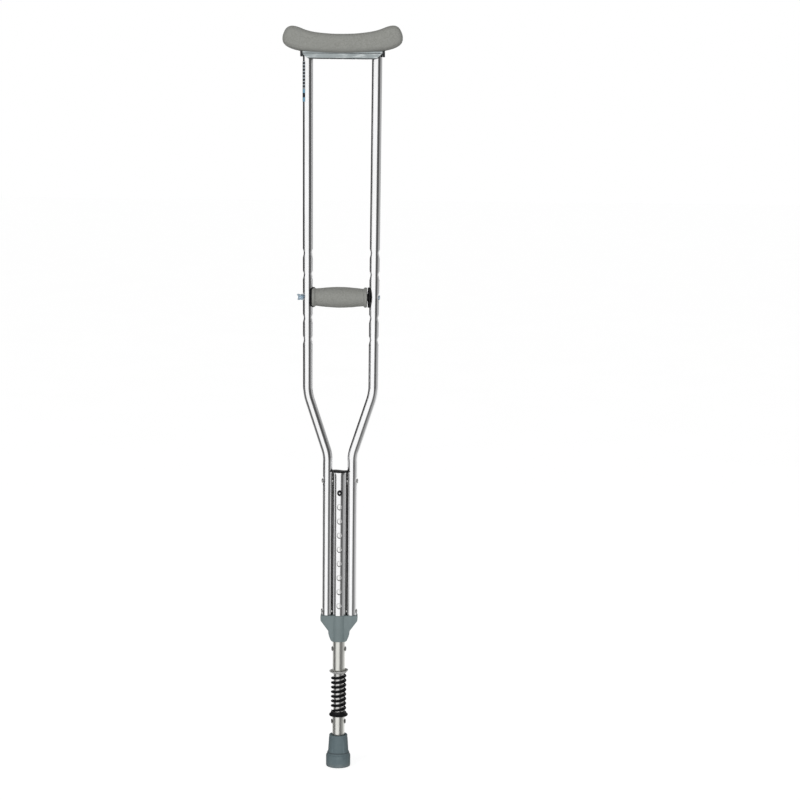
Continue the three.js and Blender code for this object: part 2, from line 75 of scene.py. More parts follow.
BOLT_R, BOLT_HOLE_R = 3.15, 3.5
DIMPLE_R, DIMPLE_DEPTH = 9, 1.3
CENTER_R, CENTER_BORE, CENTER_BOTTOM_Z, CENTER_TOP_Z = 12.7, 11.4, 246.5, 533
EXTENSION_R, EXTENSION_BORE = 11, 9.8
EXTENSION_BOTTOM_Z, EXTENSION_TOP_Z = 171.8, 510
BUTTON_Z, BUTTON_R, BUTTON_BASE_Y, BUTTON_TIP_Y = 497, 3.8, 8.9, 14.3
LEAF_Y, LEAF_THICKNESS, LEAF_WIDTH = 8.6, 0.7, 8
HOLE_PITCH, HOLE_COUNT = 25.4, 9
HEIGHT_HOLES = [BUTTON_Z - step * HOLE_PITCH for step in range(HOLE_COUNT)]
RIVET_R, RIVET_HEAD_R, RIVET_HEAD_H = 2.3, 4.5, 2.1
RIVET_HOLE_R, BUTTON_HOLE_R = RIVET_R + 0.3, BUTTON_R + 0.3
SIDE_RIVET_HEAD_X = SIDE_X_LOW + SIDE_R - 0.4
STOP_PIN_Z, FOOT_RIVET_Z = 214, 81.6
PLUNGER_R, PLUNGER_BORE = 9.45, 8.2
CUP_Z, COLLAR_Z, COLLAR_TOP_Z = 170, 92, 99.4
SPRING_R, WIRE_R, SPRING_TURNS, FOOT_TRAVEL = 11.85, 2.05, 7.85, 13
LABEL_LOW_Z, LABEL_HIGH_Z = 1182, 1251

# The bracket's painted shade, where it stands in shadow: beyond an x at both ends, below a z along
# the lowest strip, and where x - slope * z is over a bound, on the right slanted edge.
SHADE_END_X, SHADE_LOW_Z, SHADE_SLOPE, SHADE_SLANT = 69.2, 1257.2, 1.062, -1275


# ---- mesh helpers ----


def solid(name, points, faces):
    """A mesh object from points in millimetres, with its faces turned outwards."""
    mesh = bpy.data.meshes.new(name)
    mesh.from_pydata([Vector(p) * MM for p in points], [], faces)
    shape = bmesh.new()
    shape.from_mesh(mesh)
    bmesh.ops.recalc_face_normals(shape, faces=shape.faces)
    shape.to_mesh(mesh)
    shape.free()
    obj = bpy.data.objects.new(name, mesh)
    bpy.context.scene.collection.objects.link(obj)
    return obj


def bake(obj):
    """Applies the object's modifiers."""
    evaluated = obj.evaluated_get(bpy.context.evaluated_depsgraph_get())
    mesh = bpy.data.meshes.new_from_object(evaluated)
    obj.modifiers.clear()
    obj.data = mesh
    return obj


def combine(obj, operation, *others):
    """Joins ('UNION'), cuts ('DIFFERENCE') or trims ('INTERSECT') with the others, and removes them."""
    for other in others:
        modifier = obj.modifiers.new(other.name, "BOOLEAN")
        modifier.operation = operation
        modifier.solver = "EXACT"
        modifier.object = other
    bake(obj)
    for other in others:
        bpy.data.objects.remove(other)
    return obj


def bevel(obj, width, segments=3, angle=30):
    """Rounds the edges sharper than an angle."""
    modifier = obj.modifiers.new("bevel", "BEVEL")
    modifier.width = width * MM
    modifier.segments = segments
    modifier.limit_method = "ANGLE"
    modifier.angle_limit = math.radians(angle)
    modifier.use_clamp_overlap = True
    return bake(obj)


def remesh(obj, voxel, smoothing):
    """Melts joined shapes into one moulded skin with soft edges."""
    modifier = obj.modifiers.new("skin", "REMESH")
    modifier.mode = "VOXEL"
    modifier.voxel_size = voxel * MM
    modifier = obj.modifiers.new("smooth", "SMOOTH")
    modifier.factor = 0.5
    modifier.iterations = smoothing
    return bake(obj)


def reshape(obj, change):
    """Moves every point: change takes x, y, z in millimetres and gives the new ones."""
    for vertex in obj.data.vertices:
        vertex.co = Vector(change(*(vertex.co / MM))) * MM
    return obj


def rounded(points, cut, steps=4):
    """An open line of (u, v) points with its inner corners rounded. cut is how far an arc reaches."""
    line = [points[0]]
    for before, corner, after in zip(points, points[1:], points[2:]):
        corner, before, after = Vector(corner), Vector(before), Vector(after)
        into, out = corner - before, after - corner
        reach = min(cut, 0.45 * into.length, 0.45 * out.length)
        start, end = corner - into.normalized() * reach, corner + out.normalized() * reach
        for i in range(steps + 1):
            t = i / steps
            line.append(tuple(start.lerp(corner, t).lerp(corner.lerp(end, t), t)))
    return line + [points[-1]]


def rounded_ring(inner, outer, low, high, cut):
    """A closed tube wall profile with rounded rims, starting half way up the bore."""
    middle = (inner, (low + high) / 2)
    corners = [middle, (inner, low), (outer, low), (outer, high), (inner, high), middle]
    return rounded(corners, cut)[:-1]


def split_spans(profile, step):
    """Adds points so that no stretch of a profile is longer than a step."""
    line = [profile[0]]
    for start, end in zip(profile, profile[1:]):
        parts = max(1, math.ceil(math.dist(start, end) / step))
        line += [tuple(Vector(start).lerp(Vector(end), i / parts)) for i in range(1, parts + 1)]
    return line


def turned(name, profile, axis="z", centre=(0, 0, 0), sides=72, closed=False, warp=None):
    """A solid of revolution from (radius, along) pairs. warp(angle, radius, along) may move points."""
    points, faces, rings = [], [], []
    for radius, along in profile:
        count = 1 if radius < 1e-6 else sides
        rings.append(range(len(points), len(points) + count))
        for i in range(count):
            angle = 2 * math.pi * i / sides
            r, t = warp(angle, radius, along) if warp and count > 1 else (radius, along)
            u, v = r * math.cos(angle), r * math.sin(angle)
            place = {"x": (t, u, v), "y": (v, t, u), "z": (u, v, t)}[axis]
            points.append([p + c for p, c in zip(place, centre)])
    pairs = list(zip(rings, rings[1:])) + ([(rings[-1], rings[0])] if closed else [])
    for a, b in pairs:
        for i in range(sides):
            j = (i + 1) % sides
            corners = [a[i % len(a)], a[j % len(a)], b[j % len(b)], b[i % len(b)]]
            faces.append(list(dict.fromkeys(corners)))
    return solid(name, points, faces)


def rod(axis, radius, low, high, centre=(0, 0, 0), sides=48):
    """A plain round tool for cutting."""
    return turned("tool", [(0, low), (radius, low), (radius, high), (0, high)], axis, centre, sides)


def side_rods(radius, low, high, x, sides):
    """Two upright cutting rods, at -x and x."""
    return [rod("z", radius, low, high, (at, 0, 0), sides) for at in (-x, x)]


def rivet_hole(z):
    """A cutting rod that runs right through the middle tubes along x, for a rivet or pin."""
    return rod("x", RIVET_HOLE_R, -20, 20, (0, 0, z))


def slab(name, outline, depth):
    """An outline of (x, z) points, with a flat front and back at y = -depth / 2 and depth / 2."""
    count = len(outline)
    points = [(x, y, z) for y in (-depth / 2, depth / 2) for x, z in outline]
    faces = [range(count), range(2 * count - 1, count - 1, -1)]
    faces += [(i, (i + 1) % count, (i + 1) % count + count, i + count) for i in range(count)]
    return solid(name, points, [list(face) for face in faces])


def block(low, high):
    """A plain box-shaped tool for cutting."""
    outline = [(low[0], low[2]), (high[0], low[2]), (high[0], high[2]), (low[0], high[2])]
    shift = (low[1] + high[1]) / 2
    return reshape(slab("tool", outline, high[1] - low[1]), lambda x, y, z: (x, y + shift, z))


def both_sides(right_half):
    """A closed outline that is the same on both sides of x = 0, from its right half, bottom to top."""
    return right_half + [(-x, z) for x, z in reversed(right_half)]


def mirrored(obj, name):
    """A copy of a piece on the other side of x = 0."""
    copy = bpy.data.objects.new(name, obj.data.copy())
    bpy.context.scene.collection.objects.link(copy)
    copy.data.transform(Matrix.Scale(-1, 4, (1, 0, 0)))
    copy.data.flip_normals()
    return copy


def dress(obj, look, body, node, sharp=32):
    """Shades a piece, gives it its look and puts it in place of its CAD node.
    """
    obj.name = node + "_look"
    obj.data.materials.clear()
    obj.data.materials.append(look)
    obj.data.polygons.foreach_set("use_smooth", [True] * len(obj.data.polygons))
    obj.data.set_sharp_from_angle(angle=math.radians(sharp))
    if body:
        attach(obj, body)
    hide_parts(node)
    return obj


# ---- material helpers ----


class Nodes:
    """Short names for adding nodes to a shader tree."""

    def __init__(self, tree):
        self.tree = tree

    def node(self, kind, values, **settings):
        """Adds a node. Values are constants or sockets, by input name or number."""
        node = self.tree.nodes.new(kind)
        for key, value in settings.items():
            setattr(node, key, value)
        for key, value in values.items():
            if isinstance(value, bpy.types.NodeSocket):
                self.tree.links.new(value, node.inputs[key])
            else:
                node.inputs[key].default_value = value
        return node

    def span(self, value, low, high, to_low=0.0, to_high=1.0):
        """Carries a value from one range to another, held at both ends."""
        values = {0: value, 1: low, 2: high, 3: to_low, 4: to_high}
        return self.node("ShaderNodeMapRange", values).outputs[0]

    def band(self, value, start, full, fade, end):
        """1 from full to fade, and 0 before start and after end."""
        return self.math("MULTIPLY", self.span(value, start, full), self.span(value, end, fade))

    def math(self, operation, a, b):
        return self.node("ShaderNodeMath", {0: a, 1: b}, operation=operation).outputs[0]

    def mix(self, share, a, b):
        """Colour a where share is 0, colour b where it is 1. Each is a triple, a grey or a socket."""
        values = {0: share}
        for key, colour in ((6, a), (7, b)):
            if isinstance(colour, float):
                colour = (colour, colour, colour)
            values[key] = (*colour, 1) if isinstance(colour, tuple) else colour
        return self.node("ShaderNodeMix", values, data_type="RGBA").outputs[2]


class Look(Nodes):
    """A Principled material and the nodes it is built from."""

    def __init__(self, name, **constants):
        self.material = bpy.data.materials.new(name)
        self.material.use_nodes = True
        super().__init__(self.material.node_tree)
        self.shader = self.tree.nodes["Principled BSDF"]
        self.place = self.tree.nodes.new("ShaderNodeTexCoord").outputs["Object"]
        self.normal = None
        for key, value in constants.items():
            self.shader.inputs[key.replace("_", " ")].default_value = value

    def stretched(self, scale):
        return self.node("ShaderNodeMapping", {"Vector": self.place, "Scale": scale}).outputs[0]

    def noise(self, scale, stretch=(1, 1, 1), detail=2.0, rough=0.5):
        """Noise, from features of about 1/scale metres."""
        values = {"Vector": self.stretched(stretch), "Scale": scale, "Detail": detail,
                  "Roughness": rough}
        return self.node("ShaderNodeTexNoise", values).outputs["Fac"]

    def cells(self, scale, stretch=(1, 1, 1)):
        """Distance from the nearest point of a scattered pattern."""
        values = {"Vector": self.stretched(stretch), "Scale": scale}
        return self.node("ShaderNodeTexVoronoi", values).outputs["Distance"]

    def axis(self, letter):
        """The object coordinate along one axis, in metres."""
        return self.node("ShaderNodeSeparateXYZ", {0: self.place}).outputs[letter]

    def edges(self):
        """How far a point stands out on an edge, from 0 to 1."""
        geometry = self.node("ShaderNodeNewGeometry", {})
        return self.span(geometry.outputs["Pointiness"], 0.52, 0.6)

    def bump(self, height, distance):
        """Adds relief. distance is in millimetres."""
        values = {"Height": height, "Distance": distance * MM, "Strength": 1.0}
        if self.normal:
            values["Normal"] = self.normal
        self.normal = self.node("ShaderNodeBump", values).outputs[0]

    def finish(self, colour, roughness=None):
        """Connects the colour, the roughness and the relief, and gives the material."""
        for name, socket in (("Base Color", colour), ("Roughness", roughness), ("Normal", self.normal)):
            if socket is not None:
                self.tree.links.new(socket, self.shader.inputs[name])
        return self.material


def drawn_aluminium(name, bright, dull, smooth, rough, line_depth, valley=None, painted_light_above=None):
    """Drawn tube with fine lines along it and faint stains.

    Painted shade lies in the grooves between the tubes below the height valley. Above the height
    painted_light_above the tube is unworn, and painted near white as painted light where it shows
    through the centre tube's holes.
    Both heights are in metres.
    """
    look = Look(name, Metallic=1.0)
    lines = look.noise(900, (1, 1, 0.012), 4.0, 0.65)
    stains = look.noise(24, (1, 1, 0.4), 4.0, 0.6)
    scratches = look.cells(160, (1, 1, 0.06))
    colour = look.mix(look.span(stains, 0.35, 0.75), bright, dull)
    colour = look.mix(look.span(scratches, 0.03, 0.0, 0.0, 0.35), colour, (0.45, 0.45, 0.44))
    stained = look.span(stains, 0.4, 0.8, 0, 0.05)
    roughness = look.math("ADD", look.span(lines, 0.3, 0.7, smooth, rough), stained)
    if valley:
        # Painted shade in the grooves between the tubes, below the height valley.
        across = look.math("ABSOLUTE", look.axis("X"), 0.0)
        groove_shade = look.band(across, 0.0104, 0.0118, 0.0142, 0.0162)
        groove_shade = look.math("MULTIPLY", groove_shade, look.span(lines, 0.2, 0.5, 0.8, 1.0))
        low = look.span(look.axis("Z"), valley + 0.004, valley)
        groove_shade = look.math("MULTIPLY", groove_shade, low)
        colour = look.mix(groove_shade, colour, (0.2, 0.2, 0.195))
        roughness = look.math("MAXIMUM", roughness, look.math("MULTIPLY", groove_shade, 0.45))
    if painted_light_above:
        # Painted light: near white above this height, where the extension shows through the centre
        # tube's holes.
        colour = look.mix(look.span(look.axis("Z"), painted_light_above - 0.004, painted_light_above), colour, (0.98, 0.98, 0.97))
    look.bump(lines, line_depth)
    look.bump(look.noise(120, (1, 1, 0.2), 2.0), line_depth)
    return look.finish(colour, roughness)


def foam_rubber():
    """Closed-cell foam: speckled grey skin, open pores and a slightly uneven surface."""
    look = Look("foam_rubber", Specular_IOR_Level=0.25, Sheen_Weight=0.05, Sheen_Roughness=0.5)
    fine = look.noise(1500, detail=3.0, rough=0.7)
    coarse = look.noise(420, detail=3.0, rough=0.6)
    cloudy = look.noise(45, detail=3.0)
    pores = look.span(look.cells(800), 0.12, 0.3)
    colour = look.mix(look.span(coarse, 0.35, 0.65), (0.235, 0.237, 0.218), (0.3, 0.303, 0.283))
    colour = look.mix(look.span(cloudy, 0.35, 0.65, 0.0, 0.5), colour, (0.27, 0.275, 0.258))
    colour = look.mix(look.span(fine, 0.62, 0.8, 0.0, 0.35), colour, (0.36, 0.36, 0.34))
    colour = look.mix(look.span(pores, 0.0, 1.0, 0.4, 0.0), colour, (0.15, 0.15, 0.135))
    look.bump(pores, 0.2)
    look.bump(coarse, 0.35)
    look.bump(cloudy, 1.2)
    return look.finish(colour, look.span(coarse, 0.3, 0.7, 0.8, 0.95))


def bracket_painted_shade(look):
    """The share of the bracket's painted shade: both ends, the lowest strip and the right slanted edge.
    """
    across = look.math("ABSOLUTE", look.axis("X"), 0.0)
    ends = look.span(across, SHADE_END_X * MM - 0.0006, SHADE_END_X * MM)
    below = look.span(look.axis("Z"), SHADE_LOW_Z * MM, SHADE_LOW_Z * MM - 0.0004)
    slant = look.math("SUBTRACT", look.axis("X"), look.math("MULTIPLY", look.axis("Z"), SHADE_SLOPE))
    slanted = look.span(slant, SHADE_SLANT * MM - 0.0006, SHADE_SLANT * MM)
    return look.math("MAXIMUM", look.math("MAXIMUM", ends, below), slanted)


def moulded(name, colour, light, grain, smooth, rough, shine=0.5, painted_shade=None, painted_glints=0.0):
    """Moulded plastic: fine grain, faint flow marks and paler rubbed edges.

    painted_shade is a function that gives the share of painted shade. painted_glints is the strength
    of the pale streaks, painted glints.
    """
    look = Look(name, Specular_IOR_Level=shine)
    flow = look.noise(45, (1, 1, 0.35), 3.0, 0.6)
    fine = look.noise(2600, detail=2.0)
    worn = look.math("MULTIPLY", look.edges(), look.noise(300, detail=4.0, rough=0.7))
    shade = look.mix(look.span(flow, 0.3, 0.7), colour, tuple(0.82 * c for c in colour))
    shade = look.mix(look.span(fine, 0.4, 0.8, 0.0, 0.25), shade, light)
    shade = look.mix(look.span(worn, 0.3, 0.7, 0.0, 0.4), shade, light)
    if painted_glints:
        # Painted glints: pale streaks that stand in for reflections on the plastic.
        glint_streaks = look.noise(260, (0.2, 1, 1), 3.0, 0.6)
        shade = look.mix(look.span(glint_streaks, 0.54, 0.66, 0.0, painted_glints), shade, (0.8, 0.84, 0.84))
    if painted_shade:
        # Painted shade: nearly black where the given function says.
        shade = look.mix(painted_shade(look), shade, (0.02, 0.022, 0.024))
    look.bump(fine, grain)
    look.bump(flow, 0.35)
    return look.finish(shade, look.span(flow, 0.3, 0.7, smooth, rough))


def plated(name, colour, tint, smooth, rough, metallic=1.0, painted_glint_y=None):
    """Plated steel: cloudy tint, fine scratches and dull patches, and a painted glint beyond y =
    painted_glint_y.
    """
    look = Look(name, Metallic=metallic)
    cloud = look.noise(180, detail=4.0, rough=0.6)
    fine = look.noise(1400, (1, 1, 0.15), 3.0)
    scratches = look.cells(500, (1, 0.15, 1))
    shade = look.mix(look.span(cloud, 0.35, 0.68), colour, tint)
    shade = look.mix(look.span(scratches, 0.04, 0.0, 0.0, 0.5), shade, tuple(0.5 * c for c in colour))
    if painted_glint_y:
        # Painted glint: a pale spot at the tip of the crown, as if rubbed bare.
        out = look.math("ABSOLUTE", look.axis("Y"), 0.0)
        shade = look.mix(look.span(out, (painted_glint_y - 0.03) * MM, painted_glint_y * MM), shade, (0.95, 0.95, 0.95))
    look.bump(fine, 0.02)
    look.bump(cloud, 0.08)
    return look.finish(shade, look.span(look.math("ADD", cloud, fine), 0.7, 1.3, smooth, rough))


def black_lacquer():
    """Dipped black lacquer: thick and thin runs, a few chips down to steel."""
    look = Look("black_spring_lacquer", Specular_IOR_Level=0.06, Coat_Weight=0.02, Coat_Roughness=0.2)
    runs = look.noise(260, (1, 1, 0.6), 3.0)
    chips = look.span(look.noise(900, detail=4.0, rough=0.75), 0.7, 0.74)
    shade = look.mix(look.span(runs, 0.3, 0.7), (0.004, 0.004, 0.005), (0.012, 0.012, 0.013))
    shade = look.mix(look.math("MULTIPLY", chips, 0.35), shade, (0.3, 0.28, 0.26))
    look.bump(runs, 0.12)
    look.bump(chips, -0.04)
    return look.finish(shade, look.span(runs, 0.3, 0.7, 0.22, 0.4))


def tip_rubber():
    """Moulded rubber: matt bloom, fine grain, dusty lower edges and painted shade in the crease under
    the cone.
    """
    look = Look("tip_rubber", Specular_IOR_Level=0.35)
    bloom = look.noise(90, detail=4.0, rough=0.6)
    grain = look.noise(1800, detail=3.0)
    low = look.span(look.axis("Z"), 0.009, 0.001)
    dust = look.math("MULTIPLY", low, look.span(look.noise(350, detail=4.0), 0.35, 0.65))
    shade = look.mix(look.span(bloom, 0.3, 0.7), (0.098, 0.136, 0.15), (0.132, 0.173, 0.185))
    shade = look.mix(look.math("MULTIPLY", look.edges(), 0.35), shade, (0.23, 0.27, 0.29))
    shade = look.mix(look.math("MULTIPLY", dust, 0.45), shade, (0.3, 0.29, 0.27))
    # Painted shade: a dark line in the crease under the cone.
    line = look.band(look.axis("Z"), 0.0244, 0.0252, 0.0262, 0.0272)
    shade = look.mix(look.math("MULTIPLY", line, 0.6), shade, (0.03, 0.035, 0.04))
    look.bump(grain, 0.08)
    look.bump(bloom, 0.3)
    return look.finish(shade, look.span(bloom, 0.3, 0.7, 0.55, 0.75))


def label_vinyl():
    """Plain vinyl label: pale film, dark bars without lettering, and a blue foot with one dark bar."""
    look = Look("label_vinyl", Coat_Weight=0.3, Coat_Roughness=0.2)
    up = look.span(look.axis("Z"), LABEL_LOW_Z * MM, LABEL_HIGH_Z * MM)
    fibre = look.noise(1200, detail=3.0)
    bars = look.node("ShaderNodeTexWave", {"Vector": look.place, "Scale": 55.0, "Distortion": 0.0},
                     bands_direction="Z").outputs["Fac"]
    bars = look.math("MULTIPLY", look.span(bars, 0.12, 0.22), look.span(up, 0.3, 0.32))
    shade = look.mix(look.span(fibre, 0.3, 0.7), (0.42, 0.48, 0.52), (0.52, 0.58, 0.62))
    shade = look.mix(look.math("MULTIPLY", bars, 0.95), shade, (0.012, 0.014, 0.018))
    shade = look.mix(look.span(up, 0.31, 0.3), shade, (0.17, 0.36, 0.5))
    shade = look.mix(look.band(up, 0.1, 0.11, 0.21, 0.22), shade, (0.012, 0.02, 0.03))
    look.bump(fibre, 0.02)
    return look.finish(shade, look.span(fibre, 0.3, 0.7, 0.35, 0.5))


# After its name a look is given two colours, then its smoothest and its roughest finish. Drawn metal
# has the depth of its lines after them, and moulded plastic the depth of its grain before them.
POLISHED = drawn_aluminium("polished_aluminium", (0.93, 0.93, 0.94), (0.86, 0.86, 0.86), 0.08, 0.16,
                           0.004, valley=0.53)
RIVET = drawn_aluminium("rivet_aluminium", (0.75, 0.75, 0.74), (0.5, 0.5, 0.49), 0.15, 0.25, 0.01)
SATIN = drawn_aluminium("satin_aluminium", (0.84, 0.84, 0.8), (0.72, 0.72, 0.67), 0.24, 0.38, 0.03,
                        painted_light_above=0.24)
FOAM = foam_rubber()
BRACKET = moulded("bracket_plastic", (0.33, 0.37, 0.375), (0.5, 0.56, 0.58), 0.02, 0.25, 0.4,
                  painted_shade=bracket_painted_shade, painted_glints=0.5)
YOKE = moulded("yoke_plastic", (0.17, 0.215, 0.22), (0.29, 0.34, 0.35), 0.05, 0.4, 0.52)
BLACK = moulded("black_plastic", (0.006, 0.006, 0.007), (0.04, 0.04, 0.04), 0.05, 0.45, 0.6, shine=0.2)
ZINC = plated("zinc_plate", (0.5, 0.66, 0.8), (0.68, 0.77, 0.82), 0.4, 0.55, metallic=0.6)
STEEL = plated("nickel_steel", (0.72, 0.72, 0.71), (0.6, 0.59, 0.56), 0.16, 0.34)
PIN_STEEL = plated("pin_steel", (0.42, 0.42, 0.41), (0.25, 0.25, 0.24), 0.2, 0.36)
CUP_STEEL = plated("cup_steel", (0.95, 0.95, 0.93), (0.85, 0.85, 0.83), 0.6, 0.75)
DARK_STEEL = plated("blackened_steel", (0.05, 0.05, 0.055), (0.09, 0.09, 0.09), 0.2, 0.35,
                    painted_glint_y=BUTTON_TIP_Y - 0.03)
LACQUER = black_lacquer()
RUBBER = tip_rubber()
LABEL = label_vinyl()


# ---- side tubes ----

TURN = math.atan2(SIDE_X_BEND - SIDE_X_LOW, UPPER_BEND_Z - LOWER_BEND_Z)
REACH = BEND_RADIUS * math.tan(TURN / 2)
RISE = BEND_RADIUS * math.sin(TURN)
LOW_ARC_Z, HIGH_ARC_Z = LOWER_BEND_Z - REACH, UPPER_BEND_Z + REACH


def side_x(z):
    """Centre line of the right side tube: straight, out, then nearly straight with a slight flare."""
    if z < LOW_ARC_Z:
        return SIDE_X_LOW
    if z < LOW_ARC_Z + RISE:
        return SIDE_X_LOW + BEND_RADIUS - math.sqrt(BEND_RADIUS**2 - (z - LOW_ARC_Z) ** 2)
    if z < HIGH_ARC_Z - RISE:
        return SIDE_X_LOW + (z - LOWER_BEND_Z) * math.tan(TURN)
    flare = max(z - UPPER_BEND_Z, 0) * SIDE_LEAN
    if z < HIGH_ARC_Z:
        return SIDE_X_BEND - BEND_RADIUS + math.sqrt(BEND_RADIUS**2 - (HIGH_ARC_Z - z) ** 2) + flare
    return SIDE_X_BEND + flare


def side_tube():
    """Bent tube with smooth pressed dimples round its bolt and rivet holes.

    The dimples on the side of the centre tube are shallower.
    """
    dimples = SIDE_RIVETS + GRIP_HOLES
    stations = {SIDE_BOTTOM_Z, SIDE_TOP_Z}
    stations.update(SIDE_BOTTOM_Z + 20 * i for i in range(51))
    for start in (LOW_ARC_Z, HIGH_ARC_Z - RISE):
        stations.update(start + RISE * i / 14 for i in range(15))
    stations = {z for z in stations if all(abs(z - hole) > DIMPLE_R + 1 for hole in dimples)}
    stations.update(hole + offset for hole in dimples for offset in range(-DIMPLE_R, DIMPLE_R + 1))
    stations = sorted(stations)
    profile = [(SIDE_BORE, z) for z in reversed(stations)] + [(SIDE_R, z) for z in stations]

    def bend(x, y, z):
        lean = math.atan2(side_x(z + 0.5) - side_x(z - 0.5), 1)
        away = min(math.hypot(y, z - hole) for hole in dimples) / DIMPLE_R
        press = DIMPLE_DEPTH * (1 - min(away, 1) ** 2) ** 2
        if x < 0 and z < LOWER_BEND_Z:
            press *= 0.3
        x -= math.copysign(press, x)
        return side_x(z) + x * math.cos(lean), y, z - x * math.sin(lean)

    tube = reshape(turned("tube", profile, sides=72, closed=True), bend)
    holes = [rod("x", BOLT_HOLE_R, 40, 80, (0, 0, z)) for z in GRIP_HOLES]
    holes += [rod("x", RIVET_HOLE_R, 5, 40, (0, 0, z)) for z in SIDE_RIVETS]
    return combine(tube, "DIFFERENCE", *holes)


right_tube = side_tube()
left_tube = mirrored(right_tube, "left")
dress(right_tube, POLISHED, "frame", "right_side_tube")
dress(left_tube, POLISHED, "frame", "left_side_tube")


def size_label():
    """Thin curved label round the outer side of the left tube."""
    inner, outer = SIDE_R + 0.3, SIDE_R + 0.5
    start, end, steps = -1.0, 1.0, 24
    profile = [(inner, LABEL_LOW_Z), (outer, LABEL_LOW_Z), (outer, LABEL_HIGH_Z), (inner, LABEL_HIGH_Z)]
    points = []
    for i in range(steps + 1):
        angle = start + (end - start) * i / steps
        for radius, z in profile:
            x, y = radius * math.cos(angle), radius * math.sin(angle)
            points.append((-side_x(z) - x, y, z))
    faces = [[0, 1, 2, 3], [4 * steps + k for k in (3, 2, 1, 0)]]
    faces += [[4 * i + k, 4 * i + (k + 1) % 4, 4 * i + 4 + (k + 1) % 4, 4 * i + 4 + k]
              for i in range(steps) for k in range(4)]
    return solid("label", points, faces)


dress(size_label(), LABEL, "frame", "size_label")


# ---- rivets ----


def head(at, side):
    """Profile of a domed rivet head: from the shank out, round and in to a slightly sunk centre."""
    dome = [(RIVET_R, 0), (RIVET_HEAD_R, 0), (RIVET_HEAD_R - 0.1, 0.55), (3.7, 1.35), (2.5, 1.95),
            (1.2, RIVET_HEAD_H), (0.7, RIVET_HEAD_H - 0.35), (0, RIVET_HEAD_H - 0.4)]
    return [(radius, at + side * along) for radius, along in rounded(dome, 0.6)]


def spacer(side):
    """Profile of the small spacing collar that shows in the valley between two tubes."""
    collar = [(RIVET_R, 12.2), (4.6, 12.2), (4.6, 14.0), (RIVET_R, 14.0)]
    return [(radius, side * along) for radius, along in rounded(collar, 0.3)]


def through_rivet(name, at, z, collars=False):
    left = list(reversed(head(-at, -1))) + (list(reversed(spacer(-1))) if collars else [])
    return turned(name, left + (spacer(1) if collars else []) + head(at, 1), "x", (0, 0, z), 40)


def one_sided_rivet(name, z):
    """Rivet whose tail ends in a flared, crimped rim inside the centre tube."""
    start = CENTER_BORE - 2.4
    tail = [(0, start + 0.8), (1.2, start + 0.8), (1.4, start), (RIVET_R, start)]
    return turned(name, rounded(tail, 0.3) + spacer(1) + head(SIDE_RIVET_HEAD_X, 1), "x", (0, 0, z), 40)


cross_rivet = through_rivet("rivet", SIDE_RIVET_HEAD_X, SIDE_RIVETS[1], collars=True)
right_rivet = one_sided_rivet("rivet", SIDE_RIVETS[0])
left_rivet = mirrored(right_rivet, "left")
dress(cross_rivet, RIVET, "frame", "upper_cross_rivet")
dress(right_rivet, RIVET, "frame", "right_lower_rivet")
dress(left_rivet, RIVET, "frame", "left_lower_rivet")
stop_pin = through_rivet("rivet", EXTENSION_R + 0.3, STOP_PIN_Z)
dress(stop_pin, PIN_STEEL, "extension", "stop_pin")
foot_rivet = through_rivet("rivet", EXTENSION_R + 0.3, FOOT_RIVET_Z)
dress(foot_rivet, PIN_STEEL, "foot", "foot_rivet")


# ---- centre tube, its cap, the extension and the snap buttons ----


def center_tube():
    """Tube with chamfered height holes in front and behind.

    With 82 sides no edge runs down the middle of the holes, where the boolean leaves faces behind.
    """
    profile = split_spans(rounded_ring(CENTER_BORE, CENTER_R, CENTER_BOTTOM_Z, CENTER_TOP_Z, 0.4), 4)
    tube = turned("center", profile, sides=82, closed=True)
    edge = [(0, -20), (6.7, -14), (BUTTON_HOLE_R, -11.4), (BUTTON_HOLE_R, 11.4), (6.7, 14), (0, 20)]
    holes = [turned("tool", edge, "y", (0, 0, z), 48) for z in HEIGHT_HOLES]
    return combine(tube, "DIFFERENCE", *holes, *[rivet_hole(z) for z in SIDE_RIVETS])


def center_tube_cap():
    """Soft plug. Its thin flange reaches to the side tubes and isn't quite level."""
    low = CENTER_TOP_Z + 0.3
    outline = rounded([(0, low), (15.4, low), (15.4, low + 1.2), (0, low + 1.2)], 0.4)
    outline = split_spans(outline, 1.5)[:-1]
    flange = slab("cap", outline + [(-x, z) for x, z in reversed(outline) if x > 0], 21)
    combine(flange, "DIFFERENCE", *side_rods(SIDE_R + 0.35, low - 2, low + 6, SIDE_X_LOW, 96))
    spigot = rounded([(0, 524), (11.1, 524), (11.1, low + 0.8), (0, low + 0.8)], 0.6)
    bevel(combine(flange, "UNION", turned("spigot", spigot, sides=72)), 0.3, 2, 50)

    def wavy(x, y, z):
        return x, y, z + 0.6 * (1 - math.sin(x / 5)) * min(max(z - low + 3, 0) / 3, 1)

    return reshape(flange, wavy)


def extension_tube():
    ring = rounded_ring(EXTENSION_BORE, EXTENSION_R, EXTENSION_BOTTOM_Z, EXTENSION_TOP_Z, 0.4)
    tube = turned("extension", split_spans(ring, 6), sides=72, closed=True)
    button = rod("y", BUTTON_HOLE_R, -20, 20, (0, 0, BUTTON_Z))
    return combine(tube, "DIFFERENCE", button, rivet_hole(STOP_PIN_Z))


def snap_button(side):
    """Drawn steel button with a rounded crown and a foot flange on the leaf spring."""
    crown = [(0, BUTTON_BASE_Y), (BUTTON_R, BUTTON_BASE_Y), (BUTTON_R, 12.6), (3.4, 13.7), (2.2, 14.2),
             (0, BUTTON_TIP_Y)]
    profile = [(radius, side * along) for radius, along in rounded(crown, 0.9)]
    return turned("button", profile, "y", (0, 0, BUTTON_Z), 40)


